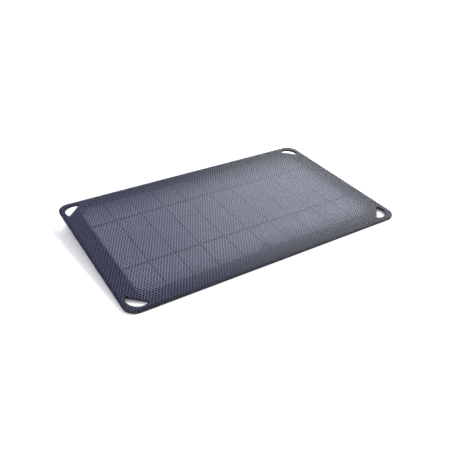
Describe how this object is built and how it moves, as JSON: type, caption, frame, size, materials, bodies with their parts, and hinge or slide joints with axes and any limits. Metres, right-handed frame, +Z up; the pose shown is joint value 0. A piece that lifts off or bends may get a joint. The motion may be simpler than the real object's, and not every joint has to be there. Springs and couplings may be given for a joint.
{
  "type": "solar panel",
  "caption": "Stiff flat solar charger: cell strips under clear embossed film, a D-shaped eyelet in each corner, and a USB junction box with a hinged rubber cover under the back edge.",
  "frame": {"origin": "centre of the object's footprint, on the surface that it stands on", "axes": "+X along the long side, +Y from the front edge to the raised back edge, +Z up; the panel stands on its front edge and on its junction box, 4.3 degrees from level"},
  "size_m": [0.267, 0.1552, 0.0137],
  "materials": {
    "clear_film": "satin",
    "clear_encapsulant": "gloss",
    "silicon": "satin",
    "dark_ribbon": "satin",
    "tinned_copper": "satin",
    "glass_fibre_board": "satin",
    "rear_sheet": "matte",
    "foam_tape": "matte",
    "box_plastic": "matte",
    "seal_rubber": "matte",
    "screw_steel": "satin",
    "circuit_board": "satin",
    "socket_steel": "satin",
    "insulator_plastic": "satin",
    "contact_metal": "polished",
    "ferrite": "matte",
    "component_plastic": "matte",
    "capacitor_plastic": "satin",
    "lamp_body": "gloss",
    "clear_window": "gloss",
    "cover_rubber": "matte"
  },
  "bodies": {
    "panel": {"front_film": "clear_film", "front_encapsulant": "clear_encapsulant", "rear_encapsulant": "clear_encapsulant", "cell_01": "silicon", "cell_02": "silicon", "cell_03": "silicon", "cell_04": "silicon", "cell_05": "silicon", "cell_06": "silicon", "cell_07": "silicon", "cell_08": "silicon", "cell_09": "silicon", "cell_10": "silicon", "interconnect_ribbons": "dark_ribbon", "positive_collector": "dark_ribbon", "negative_collector": "dark_ribbon", "positive_return_ribbon": "tinned_copper", "negative_return_ribbon": "tinned_copper", "backing_board": "glass_fibre_board", "rear_cover_sheet": "rear_sheet", "adhesive_pad": "foam_tape", "box_base": "box_plastic", "box_lid": "box_plastic", "lid_seal": "seal_rubber", "lid_screws": "screw_steel", "board_screws": "screw_steel", "regulator_board": "circuit_board", "usb_shell": "socket_steel", "usb_insulator": "insulator_plastic", "usb_contacts": "contact_metal", "power_inductor": "ferrite", "regulator_chip": "component_plastic", "input_capacitor": "capacitor_plastic", "output_capacitor": "capacitor_plastic", "blocking_diode": "component_plastic", "status_lamp": "lamp_body", "lamp_window": "clear_window", "positive_lead": "tinned_copper", "negative_lead": "tinned_copper", "port_cover_tether": "cover_rubber"},
    "flap": {"port_cover": "cover_rubber"}
  },
  "joints": [
    {"name": "port_cover_swing", "type": "hinge", "parent": "panel", "child": "flap", "pos_m": [0.0099, 0.07426, 0.00613], "axis": [0, 0.0752, -0.9972], "range_deg": [0, 115], "stiffness_Nm_per_rad": 0.0002}
  ]
}
